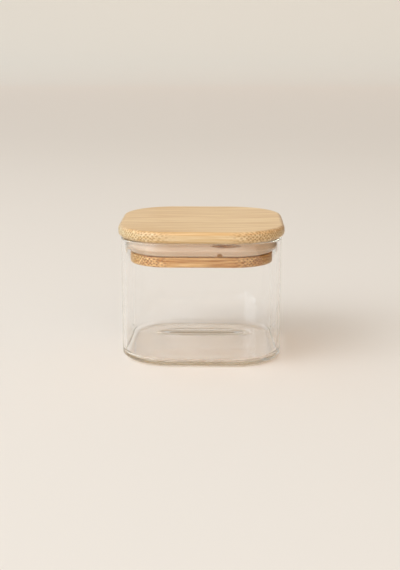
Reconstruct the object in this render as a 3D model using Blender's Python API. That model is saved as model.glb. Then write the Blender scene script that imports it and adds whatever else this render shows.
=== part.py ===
"""Square glass storage jar with a push-in bamboo lid and a silicone seal.

Units are metres and +Z is up. The origin is the middle of the foot ring, on the surface that
the jar stands on. Every piece is a cross-section carried round a rounded square, so each
cross-section is given as pairs of an inset from that square and a height.
"""

import math

import bmesh
import bpy

# Glass jar
GLASS_WIDTH = 0.1000
GLASS_CORNER_RADIUS = 0.0305
GLASS_HEIGHT = 0.0766
GLASS_WALL = 0.0022
FLOOR_THICKNESS = 0.0026
FLOOR_FILLET = 0.0031
FOOT_EDGE_RADIUS = 0.0048
FOOT_RING_WIDTH = 0.0082
KICK_HEIGHT = 0.0011
KICK_SLOPE_WIDTH = 0.0240

# Bamboo plate on top of the lid
PLATE_OVERHANG = 0.0018
PLATE_CORNER_RADIUS = 0.0335
PLATE_THICKNESS = 0.0071
PLATE_TOP_ROUND = 0.0026
PLATE_BOTTOM_ROUND = 0.0026
PLATE_REST_GAP = 0.0003

# Bamboo plug under the plate, with the groove for the seal
PLUG_SIDE_CLEARANCE = 0.0035
PLUG_FLANGE_THICKNESS = 0.0062
PLUG_EDGE_ROUND = 0.0007
GROOVE_HEIGHT = 0.0095
GROOVE_DEPTH = 0.0030
GLUE_GAP = 0.0003

# Silicone seal in the groove
SEAL_GLASS_GAP = 0.0003
SEAL_SEAT_GAP = 0.0003
FIN_SETBACK = 0.0009
FIN_THICKNESS = 0.0008
VALLEY_SETBACK = 0.0024
MAIN_LIP_DROP = 0.0050
MAIN_LIP_THICKNESS = 0.0021
BODY_SETBACK = 0.0015
BODY_TAPER = 0.0002
LOWER_EDGE_ROUND = 0.0018
VENT_RADIUS = 0.0017
VENT_DEPTH = 0.0024
VENT_OFFSET = 0.0116

# Facets
CORNER_STEPS = 10
LARGE_ARC_STEPS = 7
SMALL_ARC_STEPS = 4
SLOPE_STEPS = 10
VENT_SIDES = 20
SMALLEST_CORNER = 0.0020
SHARP_ANGLE = math.radians(35.0)

# Sizes that follow from the ones above
GLASS_HALF = GLASS_WIDTH / 2
INNER_HALF = GLASS_HALF - GLASS_WALL
INNER_CORNER_RADIUS = GLASS_CORNER_RADIUS - GLASS_WALL
PLATE_HALF = GLASS_HALF + PLATE_OVERHANG
LID_SEAT_Z = GLASS_HEIGHT + PLATE_REST_GAP
SEAL_TOP = -SEAL_SEAT_GAP
SEAL_BOTTOM = -GROOVE_HEIGHT + SEAL_SEAT_GAP
CORE_INSET = PLUG_SIDE_CLEARANCE + GROOVE_DEPTH


def clear_scene():
    """Remove whatever the file holds, so that only the jar is in it."""
    for item in list(bpy.data.objects):
        bpy.data.objects.remove(item, do_unlink=True)


def arc(centre, radius, start_degrees, end_degrees, steps):
    """Points on a round, as (inset, height); 0 degrees points inwards and 90 up."""
    points = []
    for step in range(steps + 1):
        angle = math.radians(start_degrees + (end_degrees - start_degrees) * step / steps)
        inset = centre[0] + radius * math.cos(angle)
        height = centre[1] + radius * math.sin(angle)
        points.append((inset, height))
    return points


def ease(start, end, steps):
    """Points on an S-shaped slope between two (inset, height) points, both left out."""
    points = []
    for step in range(1, steps):
        share = step / steps
        rise = (1 - math.cos(math.pi * share)) / 2
        inset = start[0] + (end[0] - start[0]) * share
        height = start[1] + (end[1] - start[1]) * rise
        points.append((inset, height))
    return points


def rounded_square(half_width, corner_radius):
    """Corner arcs of a rounded square, anticlockwise seen from above, as (x, y)."""
    reach = half_width - corner_radius
    points = []
    for quarter in range(4):
        middle = math.radians(45 + 90 * quarter)
        centre_x = math.copysign(reach, math.cos(middle))
        centre_y = math.copysign(reach, math.sin(middle))
        for step in range(CORNER_STEPS + 1):
            angle = math.radians(90 * (quarter + step / CORNER_STEPS))
            x = centre_x + corner_radius * math.cos(angle)
            y = centre_y + corner_radius * math.sin(angle)
            points.append((x, y))
    return points


def carry_round(half_width, corner_radius, profile, is_ring):
    """Carry a cross-section round a rounded square.

    The profile runs with the material on its left, seen with insets to the right. A ring's
    profile closes on itself; any other starts and ends in a flat cap across the middle.
    """
    shape = bmesh.new()
    loops = []
    for inset, height in profile:
        corner = max(corner_radius - inset, SMALLEST_CORNER)
        outline = rounded_square(half_width - inset, corner)
        loops.append([shape.verts.new((x, y, height)) for x, y in outline])
    pairs = list(zip(loops, loops[1:]))
    if is_ring:
        pairs.append((loops[-1], loops[0]))
    else:
        shape.faces.new(reversed(loops[0]))
        shape.faces.new(loops[-1])
    for lower, upper in pairs:
        for here in range(len(lower)):
            beside = (here + 1) % len(lower)
            shape.faces.new((lower[here], lower[beside], upper[beside], upper[here]))
    return shape


def make_material(name, colour, roughness, transmission=0.0, ior=1.5):
    """A Principled material with no metal in it."""
    material = bpy.data.materials.new(name)
    material.use_nodes = True
    shader = material.node_tree.nodes["Principled BSDF"]
    shader.inputs["Base Color"].default_value = (*colour, 1.0)
    shader.inputs["Roughness"].default_value = roughness
    shader.inputs["Metallic"].default_value = 0.0
    shader.inputs["Transmission Weight"].default_value = transmission
    shader.inputs["IOR"].default_value = ior
    return material


def add_piece(name, shape, material, parent):
    """Turn a finished shape into a named object under its parent."""
    mesh = bpy.data.meshes.new(name)
    shape.to_mesh(mesh)
    shape.free()
    mesh.shade_smooth()
    mesh.set_sharp_from_angle(angle=SHARP_ANGLE)
    mesh.materials.append(material)
    piece = bpy.data.objects.new(name, mesh)
    piece.parent = parent
    bpy.context.collection.objects.link(piece)
    return piece


def add_frame(name, location):
    """An empty that carries the pieces of one body."""
    frame = bpy.data.objects.new(name, None)
    frame.location = location
    bpy.context.collection.objects.link(frame)
    return frame


def jar_profile():
    """Underside of the base, outer wall, rim and inner wall of the glass, down to its flat floor."""
    ring_inner = FOOT_EDGE_RADIUS + FOOT_RING_WIDTH
    kick_inner = ring_inner + KICK_SLOPE_WIDTH
    rim_radius = GLASS_WALL / 2
    fillet_inset = GLASS_WALL + FLOOR_FILLET
    fillet_height = FLOOR_THICKNESS + FLOOR_FILLET
    underside = [(kick_inner, KICK_HEIGHT)]
    underside += ease((kick_inner, KICK_HEIGHT), (ring_inner, 0.0), SLOPE_STEPS)
    underside += [(ring_inner, 0.0)]
    foot_centre = (FOOT_EDGE_RADIUS, FOOT_EDGE_RADIUS)
    foot = arc(foot_centre, FOOT_EDGE_RADIUS, 270, 180, LARGE_ARC_STEPS)
    rim_centre = (rim_radius, GLASS_HEIGHT - rim_radius)
    rim = arc(rim_centre, rim_radius, 180, 0, LARGE_ARC_STEPS)
    fillet = arc((fillet_inset, fillet_height), FLOOR_FILLET, 180, 270, SMALL_ARC_STEPS)
    return underside + foot + rim + fillet


def plate_profile():
    """Underside, rounded edge and top of the plate, from its underside up."""
    bottom_centre = (PLATE_BOTTOM_ROUND, PLATE_BOTTOM_ROUND)
    top_centre = (PLATE_TOP_ROUND, PLATE_THICKNESS - PLATE_TOP_ROUND)
    bottom = arc(bottom_centre, PLATE_BOTTOM_ROUND, 270, 180, LARGE_ARC_STEPS)
    top = arc(top_centre, PLATE_TOP_ROUND, 180, 90, LARGE_ARC_STEPS)
    return bottom + top


def plug_profile():
    """Bottom, flange and grooved core of the plug; height 0 is the plate's underside."""
    flange_top = -GROOVE_HEIGHT
    flange_bottom = flange_top - PLUG_FLANGE_THICKNESS
    side = PLUG_SIDE_CLEARANCE
    lower_centre = (side + PLUG_EDGE_ROUND, flange_bottom + PLUG_EDGE_ROUND)
    upper_centre = (side + PLUG_EDGE_ROUND, flange_top - PLUG_EDGE_ROUND)
    flange = arc(lower_centre, PLUG_EDGE_ROUND, 270, 180, SMALL_ARC_STEPS)
    flange += arc(upper_centre, PLUG_EDGE_ROUND, 180, 90, SMALL_ARC_STEPS)
    core = [(CORE_INSET, flange_top), (CORE_INSET, -GLUE_GAP)]
    return flange + core


def seal_profile():
    """Closed section of the seal, from its inner bottom corner, outside and back over the top."""
    tip = SEAL_GLASS_GAP
    body = tip + BODY_SETBACK
    valley = tip + VALLEY_SETBACK
    fin = tip + FIN_SETBACK
    lip_radius = MAIN_LIP_THICKNESS / 2
    fin_radius = FIN_THICKNESS / 2
    lip_height = -MAIN_LIP_DROP
    inner = CORE_INSET - SEAL_SEAT_GAP
    foot = body + BODY_TAPER
    foot_centre = (foot + LOWER_EDGE_ROUND, SEAL_BOTTOM + LOWER_EDGE_ROUND)
    fin_centre = (fin + fin_radius, SEAL_TOP - fin_radius)
    lip_bottom = max(lip_height - MAIN_LIP_THICKNESS, foot_centre[1])
    profile = [(inner, SEAL_BOTTOM)]
    profile += arc(foot_centre, LOWER_EDGE_ROUND, 270, 180, SMALL_ARC_STEPS)
    profile += [(body, lip_bottom)]
    profile += arc((tip + lip_radius, lip_height), lip_radius, 240, 120, SMALL_ARC_STEPS)
    profile += [(valley, lip_height + lip_radius)]
    profile += [(valley, SEAL_TOP - FIN_THICKNESS)]
    profile += arc(fin_centre, fin_radius, 270, 90, SMALL_ARC_STEPS)
    profile += [(inner, SEAL_TOP)]
    return profile


def cut_vent(seal, lid_frame):
    """Cut the half-round vent notch into the front of the seal's lower edge."""
    face = INNER_HALF - SEAL_GLASS_GAP - BODY_SETBACK - BODY_TAPER
    shape = bmesh.new()
    bmesh.ops.create_cone(shape, cap_ends=True, segments=VENT_SIDES, radius1=VENT_RADIUS,
                          radius2=VENT_RADIUS, depth=2 * VENT_DEPTH)
    cutter = add_piece("vent_cutter", shape, seal.data.materials[0], lid_frame)
    cutter.rotation_euler = (math.radians(90), 0.0, 0.0)
    cutter.location = (VENT_OFFSET, -face, SEAL_BOTTOM)
    cutter.hide_render = True
    cutter.display_type = 'WIRE'
    vent = seal.modifiers.new("vent", 'BOOLEAN')
    vent.operation = 'DIFFERENCE'
    vent.solver = 'EXACT'
    vent.object = cutter


def build_jar(glass):
    """The glass jar, which is the body that stands on the table."""
    frame = add_frame("jar_frame", (0.0, 0.0, 0.0))
    shape = carry_round(GLASS_HALF, GLASS_CORNER_RADIUS, jar_profile(), is_ring=False)
    add_piece("glass_jar", shape, glass, frame)


def build_lid(plate_bamboo, plug_bamboo, silicone):
    """The lid: plate, plug and seal, carried by an empty on the line it lifts along."""
    frame = add_frame("lid_frame", (0.0, 0.0, LID_SEAT_Z))
    plate = carry_round(PLATE_HALF, PLATE_CORNER_RADIUS, plate_profile(), is_ring=False)
    add_piece("lid_plate", plate, plate_bamboo, frame)
    plug = carry_round(INNER_HALF, INNER_CORNER_RADIUS, plug_profile(), is_ring=False)
    add_piece("lid_plug", plug, plug_bamboo, frame)
    ring = carry_round(INNER_HALF, INNER_CORNER_RADIUS, seal_profile(), is_ring=True)
    seal = add_piece("seal_ring", ring, silicone, frame)
    cut_vent(seal, frame)


def main():
    """Build the jar and its lid."""
    clear_scene()
    glass = make_material("clear_glass", (0.93, 0.95, 0.92), 0.02, transmission=1.0, ior=1.47)
    plate_bamboo = make_material("bamboo_plate", (0.73, 0.52, 0.29), 0.55)
    plug_bamboo = make_material("bamboo_plug", (0.69, 0.42, 0.17), 0.60)
    silicone = make_material("clear_silicone", (0.83, 0.78, 0.71), 0.30, transmission=0.6, ior=1.41)
    build_jar(glass)
    build_lid(plate_bamboo, plug_bamboo, silicone)


main()
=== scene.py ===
"""Looks of a square glass storage jar with a bamboo push-in lid and a clear silicone seal.

Everything is in metres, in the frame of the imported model: +Z up, the jar standing on z = 0,
its front towards -Y. Each visible piece is a cross-section carried round a rounded square,
worked out with numpy, and dressed in a procedural material of its own.
"""

import logging
import math
from dataclasses import dataclass
from enum import Enum

import bpy
import numpy as np
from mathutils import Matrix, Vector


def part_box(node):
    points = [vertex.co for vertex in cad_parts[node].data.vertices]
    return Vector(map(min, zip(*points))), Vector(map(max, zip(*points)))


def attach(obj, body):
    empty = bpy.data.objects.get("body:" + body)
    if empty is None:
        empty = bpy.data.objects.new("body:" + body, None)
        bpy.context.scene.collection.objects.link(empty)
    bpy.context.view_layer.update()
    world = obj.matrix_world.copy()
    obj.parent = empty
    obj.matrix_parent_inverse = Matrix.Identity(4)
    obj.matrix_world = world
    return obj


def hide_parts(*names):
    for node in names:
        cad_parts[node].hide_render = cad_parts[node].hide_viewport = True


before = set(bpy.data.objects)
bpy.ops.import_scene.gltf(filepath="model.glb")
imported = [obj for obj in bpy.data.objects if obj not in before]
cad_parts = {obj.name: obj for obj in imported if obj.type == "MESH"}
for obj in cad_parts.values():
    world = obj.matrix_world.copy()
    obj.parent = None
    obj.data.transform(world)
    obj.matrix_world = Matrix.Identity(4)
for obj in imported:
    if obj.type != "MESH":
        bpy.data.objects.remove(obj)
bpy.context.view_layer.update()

MM = 0.001
# The longest step along the flat stretches of a cross-section.
LONGEST = 4 * MM
LOG = logging.getLogger("jar")
# The attributes that a mesh carries for its finish.
END_GRAIN = "end_grain"
INSET = "inset"

Node = bpy.types.Node
Socket = bpy.types.NodeSocket
Tree = bpy.types.NodeTree
Material = bpy.types.Material
Object = bpy.types.Object


class Body(Enum):
    """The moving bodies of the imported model."""

    JAR = "jar"
    LID = "lid"


class Slot(Enum):
    """The record's material slots."""

    GLASS = "clear_glass"
    PLATE = "bamboo_plate"
    PLUG = "bamboo_plug"
    SEAL = "clear_silicone"


class Axis(Enum):
    """The ways in which the backdrop changes its tone."""

    BACK = "Y"
    UP = "Z"


def linear(hex_colour: str) -> tuple[float, float, float, float]:
    """Turn an sRGB hex colour into linear RGBA, by the curve that the sRGB standard gives.

    Args:
        hex_colour: six hex digits, such as "DEBF92".

    Returns:
        Linear red, green, blue and an alpha of 1.
    """
    srgb = np.array([int(hex_colour[i:i + 2], 16) for i in (0, 2, 4)]) / 255
    bright = ((srgb + 0.055) / 1.055) ** 2.4
    red, green, blue = np.where(srgb <= 0.04045, srgb / 12.92, bright)
    return float(red), float(green), float(blue), 1.0


def add_node(tree: Tree, kind: str, inputs: dict[str | int, object] | None = None,
             **settings: object) -> Node:
    """Add a node with its settings, and fill or link its inputs.

    A Mix node's inputs go by number, since its kinds share their names: 2 and 3 are its plain
    values, 4 and 5 its vectors, and 6 and 7 its colours, with outputs 0, 1 and 2 to match.

    Args:
        tree: the node tree that gets the node.
        kind: the node's type, such as "ShaderNodeMath".
        inputs: input name or number to a value, or to an output socket to link from.
        settings: attributes of the node itself, such as operation="ADD".

    Returns:
        The new node.
    """
    node = tree.nodes.new(kind)
    for name, value in settings.items():
        setattr(node, name, value)
    for key, value in (inputs or {}).items():
        if isinstance(value, Socket):
            tree.links.new(value, node.inputs[key])
        else:
            node.inputs[key].default_value = value
    return node


def new_material(name: str) -> tuple[Material, Tree]:
    """Make an empty node material.

    Args:
        name: the finish in a maker's words.

    Returns:
        The material and its node tree, with nothing in it.
    """
    material = bpy.data.materials.new(name)
    material.use_nodes = True
    material.node_tree.nodes.clear()
    return material, material.node_tree


def rounded_square_path(corner_steps: int, side_steps: int,
                        front: np.ndarray | None = None) -> tuple[np.ndarray, np.ndarray]:
    """Walk once round a rounded square, anticlockwise from the back end of its right side.

    A point of any such square is reach * sign + radius * normal, where reach is the corner
    centre's distance from the axes. Along a corner only the normal turns, and along a side
    only the sign moves, in a straight line from one corner centre to the next.

    Args:
        corner_steps: facets along each corner.
        side_steps: facets along each side.
        front: added places along the front side, from 0 at its left end to 1 at its right end.

    Returns:
        Signs and unit normals, each as rows of x and y.
    """
    turn = np.linspace(0, np.pi / 2, corner_steps + 1)
    even = np.linspace(0, 1, side_steps + 1)[1:-1]
    centres = np.array([(1, 1), (-1, 1), (-1, -1), (1, -1)], float)
    signs, normals = [], []
    for quarter in range(4):
        places = np.union1d(even, front) if quarter == 2 and front is not None else even
        along = places[:, None]
        angle = turn + quarter * np.pi / 2
        here, beyond = centres[quarter], centres[(quarter + 1) % 4]
        side_normal = (math.cos(angle[-1]), math.sin(angle[-1]))
        signs += [np.tile(here, (len(angle), 1)), here + along * (beyond - here)]
        normals += [np.column_stack((np.cos(angle), np.sin(angle)))]
        normals += [np.tile(side_normal, (len(along), 1))]
    return np.vstack(signs), np.vstack(normals)


def arc(centre: tuple[float, float], radius: float, start: float, end: float,
        steps: int) -> np.ndarray:
    """Points on a round of a cross-section: centre + radius * (cos angle, sin angle).

    Args:
        centre: inset and height of the round's centre.
        radius: the round's radius.
        start: first angle in degrees; 0 points inwards and 90 up.
        end: last angle in degrees.
        steps: facets along the round.

    Returns:
        Rows of inset and height.
    """
    angle = np.radians(np.linspace(start, end, steps + 1))
    inset = centre[0] + radius * np.cos(angle)
    return np.column_stack((inset, centre[1] + radius * np.sin(angle)))


def slope(start: tuple[float, float], end: tuple[float, float], steps: int) -> np.ndarray:
    """Points on an S-shaped slope: the height follows half a cosine wave along the inset.

    Args:
        start: inset and height where the slope starts.
        end: inset and height where it ends.
        steps: facets along it.

    Returns:
        Rows of inset and height, both ends among them.
    """
    share = np.linspace(0, 1, steps + 1)
    rise = (1 - np.cos(np.pi * share)) / 2
    inset = start[0] + (end[0] - start[0]) * share
    return np.column_stack((inset, start[1] + (end[1] - start[1]) * rise))


def with_guards(profile: np.ndarray, guard: float, longest: float) -> np.ndarray:
    """Split long straight stretches of a cross-section, so that smooth shading stays flat there.

    Each stretch over three guards long gets a point one guard from either end, and the rest
    is cut into even steps no longer than longest.

    Args:
        profile: rows of inset and height.
        guard: distance of the added end points from the ends.
        longest: the longest step left.

    Returns:
        The profile with the added rows.
    """
    rows = [profile[:1]]
    for start, end in zip(profile[:-1], profile[1:]):
        length = math.dist(start[:2], end[:2])
        if length > 3 * guard:
            count = max(1, math.ceil(length / longest))
            inner = np.linspace(guard / length, 1 - guard / length, count + 1)[:, None]
            rows.append(start + inner * (end - start))
        rows.append(end[None])
    return np.vstack(rows)


def carry_round(profile: np.ndarray, half: float, corner: float,
                path: tuple[np.ndarray, np.ndarray], least_corner: float = 2 * MM) -> np.ndarray:
    """Carry a cross-section round a rounded square.

    At an inset the square's half width shrinks by the inset, and so does its corner radius,
    down to least_corner. A point is (half - inset - radius) * sign + radius * normal.

    Args:
        profile: rows of inset and height, and of corner radius added there if it has three columns.
        half: the square's half width at inset 0.
        corner: its corner radius at inset 0.
        path: signs and normals from rounded_square_path.
        least_corner: the least corner radius.

    Returns:
        Positions, as profile rows by path columns by x, y and z.
    """
    signs, normals = path
    inset = profile[:, :1, None]
    added = profile[:, 2:3, None] if profile.shape[1] > 2 else 0.0
    radius = np.maximum(corner - inset + added, least_corner)
    flat = (half - inset - radius) * signs + radius * normals
    height = np.broadcast_to(profile[:, 1, None, None], flat.shape[:2] + (1,))
    return np.concatenate((flat, height), axis=2)


def grid_faces(rows: int, columns: int, closed: bool) -> np.ndarray:
    """Quads of a grid of points that closes on itself along its columns.

    Each joins the points (row, column), (row, column + 1), (row + 1, column + 1) and
    (row + 1, column), and the last column is followed by the first.

    Args:
        rows: points across.
        columns: points round.
        closed: whether the last row joins the first.

    Returns:
        Rows of four point numbers.
    """
    row = np.arange(rows if closed else rows - 1)[:, None]
    column = np.arange(columns)[None]
    beside, above = (column + 1) % columns, (row + 1) % rows
    quads = (row * columns + column, row * columns + beside,
             above * columns + beside, above * columns + column)
    return np.stack(np.broadcast_arrays(*quads), axis=-1).reshape(-1, 4)


def make_piece(name: str, points: np.ndarray, closed: bool, material: Material,
               sharp: float = 180.0) -> Object:
    """Make a mesh object from a grid of points, closing its two ends with fans if it is open.

    The mesh carries how much of it faces along X, as the squared x of its normals, for the
    bamboo's end grain dots and the painted sheen on its corners.

    Args:
        name: the piece's name.
        points: positions, as rows by columns by x, y and z.
        closed: whether the cross-section closes on itself.
        material: its finish.
        sharp: edges over this angle, in degrees, stay sharp.

    Returns:
        The object, at the origin.
    """
    rows, columns = points.shape[:2]
    vertices = points.reshape(-1, 3)
    faces = grid_faces(rows, columns, closed).tolist()
    if not closed:
        vertices = np.vstack((vertices, points[0].mean(axis=0), points[-1].mean(axis=0)))
        first, last, top = rows * columns, rows * columns + 1, (rows - 1) * columns
        here = np.arange(columns)
        beside = (here + 1) % columns
        faces += np.column_stack((np.full(columns, first), beside, here)).tolist()
        faces += np.column_stack((np.full(columns, last), top + here, top + beside)).tolist()
    mesh = bpy.data.meshes.new(name)
    mesh.from_pydata(vertices.tolist(), [], faces)
    mesh.shade_smooth()
    mesh.set_sharp_from_angle(angle=math.radians(sharp))
    normals = np.empty(3 * len(mesh.vertices), np.float32)
    mesh.vertex_normals.foreach_get("vector", normals)
    grain = mesh.attributes.new(END_GRAIN, 'FLOAT', 'POINT')
    grain.data.foreach_set("value", normals[::3] ** 2)
    mesh.materials.append(material)
    piece = bpy.data.objects.new(name, mesh)
    bpy.context.scene.collection.objects.link(piece)
    return piece


@dataclass(frozen=True)
class BorosilicateGlass:
    """Clear blown borosilicate glass: nearly colourless walls, olive where light runs far inside.

    Over a way of d metres inside it, exp(-density * (1 - depth_colour) * d) of the light is left.
    """

    ior: float = 1.474
    depth_colour: str = "D5C88C"
    density: float = 2.7

    def make(self) -> Material:
        """Build the glass: a smooth clear surface over a volume that absorbs a little.

        Returns:
            The glass's material.
        """
        material, tree = new_material("blown_borosilicate_glass")
        shader = add_node(tree, "ShaderNodeBsdfPrincipled", {
            "Base Color": (1.0, 1.0, 1.0, 1.0),
            "Roughness": 0.0,
            "IOR": self.ior,
            "Transmission Weight": 1.0,
        })
        depth = add_node(tree, "ShaderNodeVolumeAbsorption", {
            "Color": linear(self.depth_colour),
            "Density": self.density,
        })
        add_node(tree, "ShaderNodeOutputMaterial", {
            "Surface": shader.outputs["BSDF"],
            "Volume": depth.outputs["Volume"],
        })
        return material


@dataclass(frozen=True)
class MouldedSilicone:
    """Clear moulded silicone, a little milky: the bamboo behind it shows pale and pinkish.

    Its skin is milky outside and grows nearly clear between two depths, in millimetres behind
    the lip's nose, so the slot between the fin and the lip looks deep.
    """

    ior: float = 1.41
    colour: str = "FDEAD1"
    roughness: float = 0.14
    clearness: float = 0.4
    inner_clearness: float = 0.95
    milky_depth: float = 1.4
    clear_depth: float = 2.4

    def make(self) -> Material:
        """Build the silicone: part clear, part milky, with a satin skin.

        Returns:
            The silicone's material.
        """
        material, tree = new_material("moulded_clear_silicone")
        depth = add_node(tree, "ShaderNodeAttribute", attribute_name=INSET).outputs["Fac"]
        clear = add_node(tree, "ShaderNodeMapRange", {
            "Value": depth, "From Min": self.milky_depth, "From Max": self.clear_depth,
            "To Min": self.clearness, "To Max": self.inner_clearness})
        shader = add_node(tree, "ShaderNodeBsdfPrincipled", {
            "Base Color": linear(self.colour),
            "Roughness": self.roughness,
            "IOR": self.ior,
            "Transmission Weight": clear.outputs["Result"],
        })
        add_node(tree, "ShaderNodeOutputMaterial", {"Surface": shader.outputs["BSDF"]})
        return material


@dataclass(frozen=True)
class LaminatedBamboo:
    """Pressed bamboo, sanded and oiled: fibres along X, so streaks on the sides and dots on end grain.

    Sizes are in millimetres. The pattern is worked out across the fibres, in Y and Z, and only
    drifts slowly along X, so each fibre bundle is one long rod wherever the surface cuts it.
    The streaks mix the deep and the pale colour, the dots lay the fibre colour over them, and the
    strip's tone multiplies the result, with painted light: lighter to the left along the block, a
    cooler tint on the sides below the top, and a lighter, bluer painted sheen on the end grain.
    """

    name: str
    pale: str
    deep: str
    fibre: str
    # Painted sheen: multiplies the end grain, making the corners lighter and bluer for the cool window light
    # on them.
    painted_end_sheen: tuple[float, float, float]
    # Bundle ends are really about 1 mm apart, which is too fine to show, so they are drawn coarser.
    dot_spacing: float = 1.65
    dot_slant: float = 0.5
    dot_turn: float = 0.7
    dot_looseness: float = 0.4
    # A dot's edge and its dark core, as shares of its cell.
    dot_edge: float = 0.4
    dot_core: float = 0.25
    dot_onset: float = 0.25
    dot_strength: float = 0.8
    strip_width: float = 21.0
    strip_phase: float = 4.0
    strip_shift: float = 40.0
    strip_tone: float = 0.015
    # Painted light: the sides below this height are tinted cooler than the top, for the window light that
    # falls on them.
    painted_side_top: float = 1000.0
    painted_side_blend: float = 0.7
    painted_side_tone: tuple[float, float, float] = (1.0, 1.0, 1.0)
    block_half: float = 45.0
    # Painted light: the block is drawn lighter by this share at its left end, where the window light falls,
    # and twice as much darker at its right end, as painted shade.
    painted_light_drift: float = 0.0
    # Waves for each millimetre across, up and along, where along_share draws them out.
    layer_waves: tuple[float, float, float] = (0.25, 0.7, 1.0)
    fine_waves: tuple[float, float, float] = (1.6, 1.0, 1.6)
    along_share: float = 0.02
    # How far the noise swings from its middle; more contrast makes it reach its ends sooner.
    layer_reach: float = 0.18
    fine_reach: float = 0.14
    contrast: float = 1.0
    relief: float = 0.15
    relief_height: float = 0.1
    roughness: float = 0.32
    ior: float = 1.43

    def make(self) -> Material:
        """Build the bamboo from its streaks, its dots and its tones, with a faint relief of fibres.

        Returns:
            The bamboo's material.
        """
        material, tree = new_material(self.name)
        place = add_node(tree, "ShaderNodeTexCoord").outputs["Object"]
        # Object coordinates are metres, and the pattern works in millimetres.
        scaled = add_node(tree, "ShaderNodeVectorMath", {0: place, 1: (1 / MM, 1 / MM, 1 / MM)},
                          operation="MULTIPLY")
        split = add_node(tree, "ShaderNodeSeparateXYZ", {"Vector": scaled.outputs["Vector"]})
        chance = self.strip_chance(tree, split.outputs["Y"])
        shift = add_node(tree, "ShaderNodeMath", {0: chance, 1: self.strip_shift}, operation="MULTIPLY")
        up = add_node(tree, "ShaderNodeMath", {
            0: split.outputs["Z"], 1: shift.outputs["Value"]}, operation="ADD").outputs["Value"]
        streaks = self.streaks(tree, split, up)
        base = add_node(tree, "ShaderNodeMix", {
            "Factor": streaks, 6: linear(self.deep), 7: linear(self.pale)}, data_type="RGBA")
        ends = add_node(tree, "ShaderNodeAttribute", attribute_name=END_GRAIN).outputs["Fac"]
        dotted = add_node(tree, "ShaderNodeMix", {
            "Factor": self.bundle_dots(tree, split, up, ends), 6: base.outputs[2],
            7: linear(self.fibre)}, data_type="RGBA")
        toned = self.tone(tree, dotted.outputs[2], split, chance)
        # Painted sheen: the end grain at the corners is drawn lighter and bluer, standing in for the cool
        # window light glancing off it.
        end_sheen = add_node(tree, "ShaderNodeMix", {
            "Factor": ends, 4: (1.0, 1.0, 1.0), 5: self.painted_end_sheen}, data_type="VECTOR")
        oiled = add_node(tree, "ShaderNodeVectorMath", {0: toned, 1: end_sheen.outputs[1]}, operation="MULTIPLY")
        bump = add_node(tree, "ShaderNodeBump", {
            "Height": streaks, "Strength": self.relief, "Distance": self.relief_height * MM})
        shader = add_node(tree, "ShaderNodeBsdfPrincipled", {
            "Base Color": oiled.outputs["Vector"],
            "Roughness": self.roughness,
            "IOR": self.ior,
            "Normal": bump.outputs["Normal"],
        })
        add_node(tree, "ShaderNodeOutputMaterial", {"Surface": shader.outputs["BSDF"]})
        return material

    def strip_chance(self, tree: Tree, across: Socket) -> Socket:
        """Give each strip that the board is glued up from a random number.

        The strip is the whole part of (across + strip_phase) / strip_width.

        Args:
            tree: the material's tree.
            across: the place across the board.

        Returns:
            A socket with the strip's own number, from 0 to 1.
        """
        moved = add_node(tree, "ShaderNodeMath", {0: across, 1: self.strip_phase}, operation="ADD")
        share = add_node(tree, "ShaderNodeMath", {0: moved.outputs["Value"], 1: self.strip_width},
                         operation="DIVIDE")
        number = add_node(tree, "ShaderNodeMath", {0: share.outputs["Value"]}, operation="FLOOR")
        return add_node(tree, "ShaderNodeTexWhiteNoise", {"W": number.outputs["Value"]},
                        noise_dimensions="1D").outputs["Value"]

    def streaks(self, tree: Tree, split: Node, up: Socket) -> Socket:
        """Broad layers and fine fibres in equal parts, drawn out along the block.

        Args:
            tree: the material's tree.
            split: the position, split into X, Y and Z.
            up: its height, shifted from strip to strip.

        Returns:
            A socket from 0, deep, to 1, pale.
        """
        slow = add_node(tree, "ShaderNodeMath", {0: split.outputs["X"], 1: self.along_share},
                        operation="MULTIPLY")
        place = add_node(tree, "ShaderNodeCombineXYZ", {
            "X": split.outputs["Y"], "Y": up, "Z": slow.outputs["Value"]}).outputs["Vector"]
        layers = self.noise(tree, place, self.layer_waves, self.layer_reach)
        fine = self.noise(tree, place, self.fine_waves, self.fine_reach)
        return add_node(tree, "ShaderNodeMix", {"Factor": 0.5, 2: layers, 3: fine}).outputs[0]

    def noise(self, tree: Tree, place: Socket, waves: tuple[float, float, float], reach: float) -> Socket:
        """Noise, spread from 0 at 0.5 - reach / contrast to 1 at 0.5 + reach / contrast.

        Args:
            tree: the material's tree.
            place: where across, up and along the fibres.
            waves: waves for each millimetre of these.
            reach: how far the noise swings from its middle.

        Returns:
            A socket from 0 to 1.
        """
        waved = add_node(tree, "ShaderNodeVectorMath", {0: place, 1: waves}, operation="MULTIPLY")
        noise = add_node(tree, "ShaderNodeTexNoise", {
            "Vector": waved.outputs["Vector"], "Scale": 1.0, "Detail": 2.0, "Roughness": 0.6})
        return add_node(tree, "ShaderNodeMapRange", {
            "Value": noise.outputs["Fac"], "From Min": 0.5 - reach / self.contrast,
            "From Max": 0.5 + reach / self.contrast}).outputs["Result"]

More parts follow.
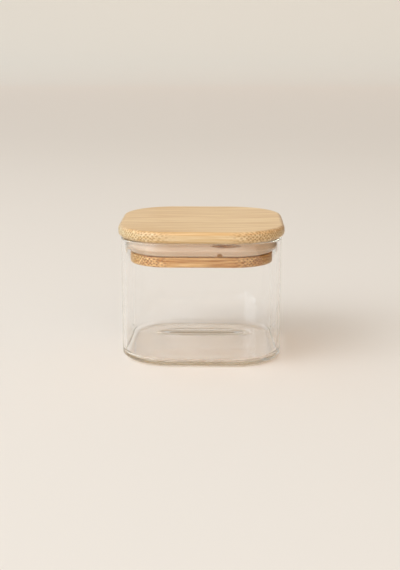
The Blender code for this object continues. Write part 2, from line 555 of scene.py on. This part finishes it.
    def bundle_dots(self, tree: Tree, split: Node, up: Socket, ends: Socket) -> Socket:
        """Cut ends of fibre bundles: a dark dot in the middle of each cell of a loose grid.

        The grid is laid out over |y| - slant * |x| and z, which runs on evenly round the corners,
        so the dots keep their size there. It fades out, with ends to the power of dot_onset,
        where the fibres lie in the surface.

        Args:
            tree: the material's tree.
            split: the position, split into X, Y and Z.
            up: its height, shifted from strip to strip.
            ends: how squarely the fibres are cut, from 0 where they lie in the surface to 1.

        Returns:
            A socket with the dots' strength.
        """
        across = add_node(tree, "ShaderNodeMath", {0: split.outputs["Y"]}, operation="ABSOLUTE")
        along = add_node(tree, "ShaderNodeMath", {0: split.outputs["X"]}, operation="ABSOLUTE")
        slant = add_node(tree, "ShaderNodeMath", {
            0: along.outputs["Value"], 1: -self.dot_slant, 2: across.outputs["Value"]},
            operation="MULTIPLY_ADD")
        spot = add_node(tree, "ShaderNodeCombineXYZ", {"X": slant.outputs["Value"], "Y": up})
        turned = add_node(tree, "ShaderNodeVectorRotate", {
            "Vector": spot.outputs["Vector"], "Angle": self.dot_turn}, rotation_type="Z_AXIS")
        cells = add_node(tree, "ShaderNodeTexVoronoi", {
            "Vector": turned.outputs["Vector"], "Scale": 1 / self.dot_spacing,
            "Randomness": self.dot_looseness}, voronoi_dimensions="2D")
        dots = add_node(tree, "ShaderNodeMapRange", {
            "Value": cells.outputs["Distance"], "From Min": self.dot_edge, "From Max": self.dot_core,
            "To Max": self.dot_strength})
        shown = add_node(tree, "ShaderNodeMath", {0: ends, 1: self.dot_onset}, operation="POWER")
        return add_node(tree, "ShaderNodeMath", {
            0: dots.outputs["Result"], 1: shown.outputs["Value"]}, operation="MULTIPLY").outputs["Value"]

    def tone(self, tree: Tree, colour: Socket, split: Node, chance: Socket) -> Socket:
        """Vary the colour from strip to strip, and paint light on it: lighter to the left along the
        block, and a cooler tint on the sides below the top.

        Args:
            tree: the material's tree.
            colour: the bamboo's colour so far.
            split: the position, split into X, Y and Z.
            chance: the strip's random number.

        Returns:
            A socket with the varied colour.
        """
        strip = add_node(tree, "ShaderNodeMapRange", {
            "Value": chance, "To Min": 1 - self.strip_tone, "To Max": 1 + self.strip_tone})
        # Painted light: the block is drawn lighter at its left end, where the window light falls, and
        # twice as much darker at its right end, as painted shade.
        along = add_node(tree, "ShaderNodeMapRange", {
            "Value": split.outputs["X"], "From Min": -self.block_half, "From Max": self.block_half,
            "To Min": 1 + self.painted_light_drift, "To Max": 1 - 2 * self.painted_light_drift})
        level = add_node(tree, "ShaderNodeMath", {
            0: strip.outputs["Result"], 1: along.outputs["Result"]}, operation="MULTIPLY")
        levelled = add_node(tree, "ShaderNodeVectorMath", {
            0: colour, 1: level.outputs["Value"]}, operation="MULTIPLY")
        # Painted light: the top face keeps the plain colour, and the sides below a given height take a
        # cooler tone, for the window light that falls on the sides more than on the top.
        above = add_node(tree, "ShaderNodeMapRange", {
            "Value": split.outputs["Z"], "From Min": self.painted_side_top,
            "From Max": self.painted_side_top + self.painted_side_blend})
        side_tint = add_node(tree, "ShaderNodeMix", {
            "Factor": above.outputs["Result"], 4: self.painted_side_tone, 5: (1.0, 1.0, 1.0)}, data_type="VECTOR")
        return add_node(tree, "ShaderNodeVectorMath", {
            0: levelled.outputs["Vector"], 1: side_tint.outputs[1]}, operation="MULTIPLY").outputs["Vector"]


@dataclass(frozen=True)
class Tint:
    """A colour that comes in evenly along an axis, from none at start to full at end, in metres."""

    colour: str
    axis: Axis
    start: float
    end: float


@dataclass(frozen=True)
class PaperSweep:
    """Warm matt paper under and behind the jar, whose even pale tone fills the clear glass.

    It is a little darker in the middle distance and lighter further back, as painted shade and
    painted light, and cooler where it rises. High up, out of the lamp's reach, it is painted dusky
    as painted shade, which the jar's base shows as an olive line.
    """

    near: str = "F0E8DD"
    tints: tuple[Tint, ...] = (
        # Painted shade in the middle distance, and painted light further back.
        Tint("E7DFD4", Axis.BACK, -0.3, 1.5),
        Tint("F4EDE4", Axis.BACK, 1.2, 4.0),
        Tint("EDEDE7", Axis.BACK, 3.6, 4.6),
        # Painted shade: dusky high up, where the lamp's light falls off.
        Tint("A69066", Axis.UP, 4.4, 5.2),
    )
    roughness: float = 0.9
    gloss: float = 0.1

    def make(self) -> Material:
        """Build the paper, each tint mixed over the ones before it.

        Returns:
            The paper's material.
        """
        material, tree = new_material("matt_backdrop_paper")
        place = add_node(tree, "ShaderNodeTexCoord").outputs["Object"]
        split = add_node(tree, "ShaderNodeSeparateXYZ", {"Vector": place})
        colour = linear(self.near)
        for tint in self.tints:
            share = add_node(tree, "ShaderNodeMapRange", {
                "Value": split.outputs[tint.axis.value], "From Min": tint.start, "From Max": tint.end})
            colour = add_node(tree, "ShaderNodeMix", {
                "Factor": share.outputs["Result"], 6: colour, 7: linear(tint.colour)},
                data_type="RGBA").outputs[2]
        shader = add_node(tree, "ShaderNodeBsdfPrincipled", {
            "Base Color": colour, "Roughness": self.roughness, "Specular IOR Level": self.gloss})
        add_node(tree, "ShaderNodeOutputMaterial", {"Surface": shader.outputs["BSDF"]})
        return material


@dataclass
class GlassJar:
    """The blown jar: thin walls, a thicker base on a foot ring, a hollow under it, a round rim.

    The heel between wall and foot ring is a flat quarter ellipse, foot_round wide and
    foot_rise high.
    """

    corner: float = 30.5 * MM
    wall: float = 2.2 * MM
    floor: float = 2.6 * MM
    floor_fillet: float = 3.5 * MM
    foot_round: float = 5.4 * MM
    foot_rise: float = 3.4 * MM
    foot_ring: float = 7.6 * MM
    kick: float = 1.1 * MM
    kick_slope: float = 24.0 * MM
    kick_corner: float = 4.0 * MM
    kick_steps: int = 40
    heel_steps: int = 24
    rim_steps: int = 24
    fillet_steps: int = 20
    corner_steps: int = 64
    side_steps: int = 10
    guard: float = 0.25 * MM

    def profile(self, height: float) -> np.ndarray:
        """Cross-section from the middle of the underside, up the outside, to the middle of the floor.

        Args:
            height: the rim's height.

        Returns:
            Rows of inset, height and added corner radius.
        """
        ring = self.foot_round + self.foot_ring
        inner = ring + self.kick_slope
        fillet = self.wall + self.floor_fillet
        rim = self.wall / 2
        under = slope((inner, self.kick), (ring, 0.0), self.kick_steps)
        heel = arc((self.foot_round, self.foot_round), self.foot_round, 270, 180, self.heel_steps)
        heel[:, 1] *= self.foot_rise / self.foot_round
        sides = np.vstack((
            heel,
            arc((rim, height - rim), rim, 180, 0, self.rim_steps),
            arc((fillet, self.floor + self.floor_fillet), self.floor_fillet, 180, 270, self.fillet_steps),
            [(inner, self.floor)],
        ))
        rows = np.vstack((np.insert(under, 2, self.kick_corner, axis=1), np.insert(sides, 2, 0.0, axis=1)))
        return with_guards(rows, self.guard, LONGEST)

    def build(self, finish: Material) -> Object:
        """Make the jar and let it ride on its body in place of the plain solid.

        Args:
            finish: the glass.

        Returns:
            The jar's object.
        """
        _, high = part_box("glass_jar")
        path = rounded_square_path(self.corner_steps, self.side_steps)
        points = carry_round(self.profile(high.z), high.x, self.corner, path)
        piece = make_piece("blown_glass_jar", points, False, finish)
        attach(piece, Body.JAR.value)
        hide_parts("glass_jar")
        return piece


@dataclass
class BambooLid:
    """The lid's two bamboo blocks: the plate on top and the grooved plug under it."""

    plate_corner: float = 33.5 * MM
    plate_round: float = 2.6 * MM
    plate_steps: int = 20
    plate_guard: float = 0.3 * MM
    plug_corner: float = 24.8 * MM
    plug_round: float = 0.7 * MM
    plug_steps: int = 8
    plug_guard: float = 0.2 * MM
    plug_sharp: float = 60.0
    flange: float = 6.2 * MM
    groove_depth: float = 3.0 * MM
    # The flat faces are rings this wide, closed by fans.
    face_ring: float = 12.0 * MM
    corner_steps: int = 40
    side_steps: int = 10

    def build_plate(self, finish: Material) -> Object:
        """Make the plate: flat faces with rounded edges above and below.

        Args:
            finish: the plate's bamboo.

        Returns:
            The plate's object.
        """
        low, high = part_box("lid_plate")
        edge = self.plate_round
        rows = np.vstack((
            [(self.face_ring, low.z)],
            arc((edge, low.z + edge), edge, 270, 180, self.plate_steps),
            arc((edge, high.z - edge), edge, 180, 90, self.plate_steps),
            [(self.face_ring, high.z)],
        ))
        path = rounded_square_path(self.corner_steps, self.side_steps)
        points = carry_round(with_guards(rows, self.plate_guard, LONGEST), high.x, self.plate_corner, path)
        piece = make_piece("bamboo_plate", points, False, finish)
        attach(piece, Body.LID.value)
        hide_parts("lid_plate")
        return piece

    def build_plug(self, finish: Material) -> Object:
        """Make the plug: a flange with eased edges, and the core that the seal sits round.

        Args:
            finish: the plug's bamboo.

        Returns:
            The plug's object.
        """
        low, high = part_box("lid_plug")
        edge, top = self.plug_round, low.z + self.flange
        core = self.groove_depth
        rows = np.vstack((
            [(self.face_ring, low.z)],
            arc((edge, low.z + edge), edge, 270, 180, self.plug_steps),
            arc((edge, top - edge), edge, 180, 90, self.plug_steps),
            [(core, top), (core, high.z), (self.face_ring, high.z)],
        ))
        path = rounded_square_path(self.corner_steps, self.side_steps)
        points = carry_round(with_guards(rows, self.plug_guard, LONGEST), high.x, self.plug_corner, path)
        piece = make_piece("bamboo_plug", points, False, finish, sharp=self.plug_sharp)
        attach(piece, Body.LID.value)
        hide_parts("lid_plug")
        return piece


@dataclass
class SealRing:
    """The silicone seal: thin top fin, thick main lip against the glass, tapering body, a vent notch."""

    corner: float = 28.0 * MM
    depth: float = 5.9 * MM
    fin_setback: float = 0.6 * MM
    fin_thickness: float = 1.2 * MM
    slot_setback: float = 1.3 * MM
    slot_depth: float = 5.8 * MM
    slot_gap: float = 0.1 * MM
    slot_rise: float = 1.6 * MM
    slot_middle: float = 15.0 * MM
    slot_half: float = 11.5 * MM
    lip_drop: float = 4.7 * MM
    lip_thickness: float = 2.1 * MM
    lip_turn: float = 120.0
    body_setback: float = 1.5 * MM
    body_taper: float = 1.0 * MM
    foot_round: float = 2.4 * MM
    vent_offset: float = 11.6 * MM
    vent_half: float = 1.8 * MM
    vent_height: float = 2.7 * MM
    vent_steps: int = 36
    round_steps: int = 12
    fin_steps: int = 8
    corner_steps: int = 40
    side_steps: int = 36
    guard: float = 0.1 * MM
    longest: float = 0.5 * MM
    sharp: float = 50.0
    # Heights and depths nearer than this count as the same.
    near: float = 0.01 * MM

    def profile(self, bottom: float, top: float) -> np.ndarray:
        """Closed cross-section, from the inner bottom corner outwards and back over the top.

        Args:
            bottom: the height of the ring's lower face.
            top: the height of its upper face.

        Returns:
            Rows of inset and height.
        """
        lip, fin = self.lip_thickness / 2, self.fin_thickness / 2
        lip_height = top - self.lip_drop
        shoulder = top - self.fin_thickness - self.slot_gap
        foot = self.body_setback + self.body_taper
        nose = self.lip_turn / 2
        rows = np.vstack((
            [(self.depth, bottom)],
            arc((foot + self.foot_round, bottom + self.foot_round), self.foot_round, 270, 180,
                self.round_steps),
            [(self.body_setback, lip_height - 2 * lip)],
            arc((lip, lip_height), lip, 180 + nose, 180 - nose, self.round_steps),
            [(self.slot_setback, shoulder), (self.slot_depth, shoulder)],
            [(self.slot_depth, top - self.fin_thickness)],
            arc((self.fin_setback + fin, top - fin), fin, 270, 90, self.fin_steps),
            [(self.depth, top)],
        ))
        closed = with_guards(np.vstack((rows, rows[:1])), self.guard, self.longest)
        return closed[:-1]

    def open_front(self, points: np.ndarray, half: float, bottom: float, top: float) -> None:
        """Arch the lower edge over the vent and let the lip sag from the fin beside it, in place.

        At a distance d from the vent's middle the arch is height * sqrt(1 - (d / half) ** 2)
        high. The slot opens along a parabola, most in its middle, and the lip's sloping
        top sinks with it, the more the nearer it is to the slot.

        Args:
            points: the ring's positions, as rows by columns by x, y and z.
            half: the ring's half width.
            bottom: the height of its lower face.
            top: the height of its upper face.
        """
        x, y, z = points[..., 0], points[..., 1], points[..., 2]
        front = y < -(half - self.depth - self.near)
        away = np.minimum(np.abs(x - self.vent_offset) / self.vent_half, 1)
        arch = bottom + self.vent_height * np.sqrt(1 - away ** 2)
        shoulder = top - self.fin_thickness - self.slot_gap
        lip_height = top - self.lip_drop
        share = np.clip((z - lip_height) / (shoulder - lip_height), 0, 1) * (z < shoulder + self.near)
        aside = np.minimum(np.abs(x - self.slot_middle) / self.slot_half, 1)
        sag = self.slot_rise * share * (1 - aside ** 2)
        points[..., 2] = np.where(front, np.maximum(z - sag, arch), z)

    def build(self, finish: Material) -> Object:
        """Make the seal ring in its groove.

        Its mesh carries how far behind the lip's nose each point of the upper part lies, in
        millimetres, and 0 below, for the silicone.

        Args:
            finish: the silicone.

        Returns:
            The ring's object.
        """
        low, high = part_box("seal_ring")
        reach = high.x - self.corner
        turn = np.linspace(0, np.pi, self.vent_steps + 1)
        # Places across the vent are closest at its two ends, where the arch is steepest.
        across = self.vent_offset + self.vent_half * np.cos(turn)
        path = rounded_square_path(self.corner_steps, self.side_steps, (across / reach + 1) / 2)
        profile = self.profile(low.z, high.z)
        points = carry_round(profile, high.x, self.corner, path)
        self.open_front(points, high.x, low.z, high.z)
        piece = make_piece("silicone_seal", points, True, finish, sharp=self.sharp)
        inset = piece.data.attributes.new(INSET, 'FLOAT', 'POINT')
        upper = profile[:, 1] > high.z - self.lip_drop - self.lip_thickness
        deep = np.where(upper, profile[:, 0] / MM, 0.0)
        inset.data.foreach_set("value", np.repeat(deep, points.shape[1]).astype(np.float32))
        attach(piece, Body.LID.value)
        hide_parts("seal_ring")
        return piece


@dataclass(frozen=True)
class PhotoCamera:
    """The photograph's camera, as fitted to the outlines of the lid and the glass.

    Pitch is in degrees below level, turn in degrees round the jar to the right, and the
    sensor is in millimetres.
    """

    distance: float = 682.1 * MM
    height: float = 198.1 * MM
    aside: float = -1.24 * MM
    pitch: float = 13.03
    turn: float = 1.11
    focal_pixels: float = 1078.8
    image_pixels: float = 570.0
    sensor: float = 36.0
    farthest: float = 50.0

    def build(self) -> None:
        """Make the camera and set it as the scene's.

        The sensor spans the picture's longer side, so the lens is the focal length in pixels
        times sensor / image_pixels.
        """
        data = bpy.data.cameras.new("photo_camera")
        data.sensor_width = self.sensor
        data.lens = self.focal_pixels * self.sensor / self.image_pixels
        data.clip_end = self.farthest
        turn = math.radians(self.turn)
        camera = bpy.data.objects.new("photo_camera", data)
        camera.location = (
            self.aside * math.cos(turn) + self.distance * math.sin(turn),
            self.aside * math.sin(turn) - self.distance * math.cos(turn),
            self.height,
        )
        camera.rotation_euler = (math.radians(90 - self.pitch), 0.0, turn)
        bpy.context.scene.collection.objects.link(camera)
        bpy.context.scene.camera = camera


@dataclass
class Studio:
    """Soft studio: a tall paper sweep, a window-like softbox at the left, and a warm and cool room.

    The sweep is as wide as a table beside the jar, and spreads behind it to fill the picture.
    The window's angles are degrees from the camera's side, positive to the right, and above
    the floor, and its colours are sRGB hex.
    """

    table_half: float = 0.345
    sweep_start: float = 1.0
    sweep_spread: float = 0.25
    sweep_front: float = -0.6
    sweep_back: float = 4.0
    sweep_margin: float = 0.1
    sweep_bend: float = 2.6
    sweep_height: float = 12.0
    sweep_gap: float = 0.1 * MM
    floor_rows: int = 40
    bend_steps: int = 24
    window_azimuth: float = -58.0
    window_elevation: float = 32.0
    window_distance: float = 2.6
    window_size: tuple[float, float] = (1.9, 2.4)
    window_aim: float = 40 * MM
    window_colour: str = "E6F2FF"
    window_power: float = 40.3
    cool_side: str = "BCE5FF"
    cool_strength: float = 1.02
    warm_front: str = "FFD6AC"
    warm_strength: float = 1.0
    cool_away: tuple[float, float, float] = (1.0, 0.0, 0.0)
    warm_away: tuple[float, float, float] = (0.0, 1.0, 0.0)
    horizon: float = 0.1
    room_floor: float = 0.1
    beyond: str = "E2DBD0"
    light_turns: int = 160

    def build_sweep(self, finish: Material) -> None:
        """Make the floor and wall as one sheet: straight, a quarter round, and straight up.

        Its half width is table_half up to sweep_start, and sweep_spread more for each metre
        behind that. It lies a hair under the jar's foot.

        Args:
            finish: the paper.
        """
        flat = np.linspace(self.sweep_front + self.sweep_margin, self.sweep_back - self.sweep_margin,
                           self.floor_rows)
        bend = np.radians(np.linspace(0, 90, self.bend_steps + 1))
        y = np.concatenate(([self.sweep_front], flat, self.sweep_back + self.sweep_bend * np.sin(bend),
                            [self.sweep_back + self.sweep_bend]))
        z = np.concatenate(([0.0], np.zeros_like(flat), self.sweep_bend * (1 - np.cos(bend)),
                            [self.sweep_height]))
        z -= self.sweep_gap
        half = self.table_half + self.sweep_spread * np.maximum(y - self.sweep_start, 0)
        x = half[:, None] * np.array([1, -1])
        points = np.stack(np.broadcast_arrays(x, y[:, None], z[:, None]), axis=-1)
        faces = np.arange(len(y) - 1)[:, None] * 2 + np.array([[2, 3, 1, 0]])
        mesh = bpy.data.meshes.new("paper_sweep")
        mesh.from_pydata(points.reshape(-1, 3).tolist(), [], faces.tolist())
        mesh.shade_smooth()
        mesh.materials.append(finish)
        sweep = bpy.data.objects.new("paper_sweep", mesh)
        bpy.context.scene.collection.objects.link(sweep)

    def build_window(self) -> None:
        """Make the softbox, an area light that faces the jar."""
        data = bpy.data.lights.new("window_softbox", 'AREA')
        data.shape = 'RECTANGLE'
        data.size, data.size_y = self.window_size
        data.energy = self.window_power
        data.color = linear(self.window_colour)[:3]
        light = bpy.data.objects.new("window_softbox", data)
        turn, rise = math.radians(self.window_azimuth), math.radians(self.window_elevation)
        away = self.window_distance * math.cos(rise)
        light.location = (away * math.sin(turn), -away * math.cos(turn),
                          self.window_distance * math.sin(rise) + self.window_aim)
        light.rotation_euler = (math.pi / 2 - rise, 0.0, turn)
        bpy.context.scene.collection.objects.link(light)

    def build_world(self) -> None:
        """Fill the room with cool light from the left and warm light from the front.

        In a world the Object coordinates are the direction looked in, from -1 to 1 along each
        axis. Each light is full on its own side and falls off evenly to nothing on the opposite
        one, and below the horizon the room is dark. Seen directly, past the paper's edges, the
        room is plain and pale.
        """
        world = bpy.data.worlds.new("studio_room")
        world.use_nodes = True
        tree = world.node_tree
        tree.nodes.clear()
        place = add_node(tree, "ShaderNodeTexCoord").outputs["Object"]
        height = add_node(tree, "ShaderNodeSeparateXYZ", {"Vector": place}).outputs["Z"]
        floor = add_node(tree, "ShaderNodeMapRange", {
            "Value": height, "From Min": -self.horizon, "From Max": self.horizon,
            "To Min": self.room_floor})
        sides = []
        for away, colour, strength in ((self.cool_away, self.cool_side, self.cool_strength),
                                       (self.warm_away, self.warm_front, self.warm_strength)):
            along = add_node(tree, "ShaderNodeVectorMath", {0: place, 1: away}, operation="DOT_PRODUCT")
            level = add_node(tree, "ShaderNodeMapRange", {
                "Value": along.outputs["Value"], "From Min": 1.0, "From Max": -1.0, "To Max": strength})
            share = add_node(tree, "ShaderNodeMath", {
                0: level.outputs["Result"], 1: floor.outputs["Result"]}, operation="MULTIPLY")
            side = add_node(tree, "ShaderNodeBackground", {
                "Color": linear(colour), "Strength": share.outputs["Value"]})
            sides.append(side.outputs["Background"])
        both = add_node(tree, "ShaderNodeAddShader", {0: sides[0], 1: sides[1]})
        beyond = add_node(tree, "ShaderNodeBackground", {
            "Color": linear(self.beyond), "Strength": 1.0}).outputs["Background"]
        seen = add_node(tree, "ShaderNodeLightPath").outputs["Is Camera Ray"]
        room = add_node(tree, "ShaderNodeMixShader", {0: seen, 1: both.outputs["Shader"], 2: beyond})
        add_node(tree, "ShaderNodeOutputWorld", {"Surface": room.outputs["Shader"]})
        bpy.context.scene.world = world

    def let_light_through_glass(self) -> None:
        """Keep refracted light sharp, and follow it on its many turns inside the thick base."""
        cycles = bpy.context.scene.cycles
        cycles.blur_glossy = 0.0
        cycles.max_bounces = cycles.glossy_bounces = cycles.transmission_bounces = self.light_turns

    def build(self) -> None:
        """Make the sweep, the window and the room."""
        self.build_sweep(PaperSweep().make())
        self.build_window()
        self.build_world()
        self.let_light_through_glass()


def main() -> None:
    """Build the studio, the jar and its lid, in order."""
    logging.basicConfig(level=logging.INFO, format="%(name)s: %(message)s")
    bpy.context.scene.view_settings.view_transform = 'Standard'
    PhotoCamera().build()
    Studio().build()
    # Painted light in the bamboo: both blocks' end grain gets a painted sheen, the plate's sides below the
    # top a cooler painted tint, and the plug a painted light that is lighter to its left.
    bamboo_plate = LaminatedBamboo("sanded_bamboo_plate", "F6D6A4", "D6A86C", "9A6024",
                                   (1.08, 1.2, 1.28), dot_strength=0.9, painted_side_top=82.0,
                                   painted_side_tone=(0.92, 1.0, 1.12), contrast=1.3)
    bamboo_plug = LaminatedBamboo("sanded_bamboo_plug", "EEC78C", "B67836", "8A4C18",
                                  (1.1, 1.26, 1.34), dot_strength=1.2, painted_light_drift=0.06, relief=0.4,
                                  contrast=2.6)
    lid = BambooLid()
    pieces = [
        GlassJar().build(BorosilicateGlass().make()),
        lid.build_plate(bamboo_plate.make()),
        lid.build_plug(bamboo_plug.make()),
        SealRing().build(MouldedSilicone().make()),
    ]
    for piece in pieces:
        LOG.info("%s: %d faces", piece.name, len(piece.data.polygons))


if __name__ == "__main__":
    main()
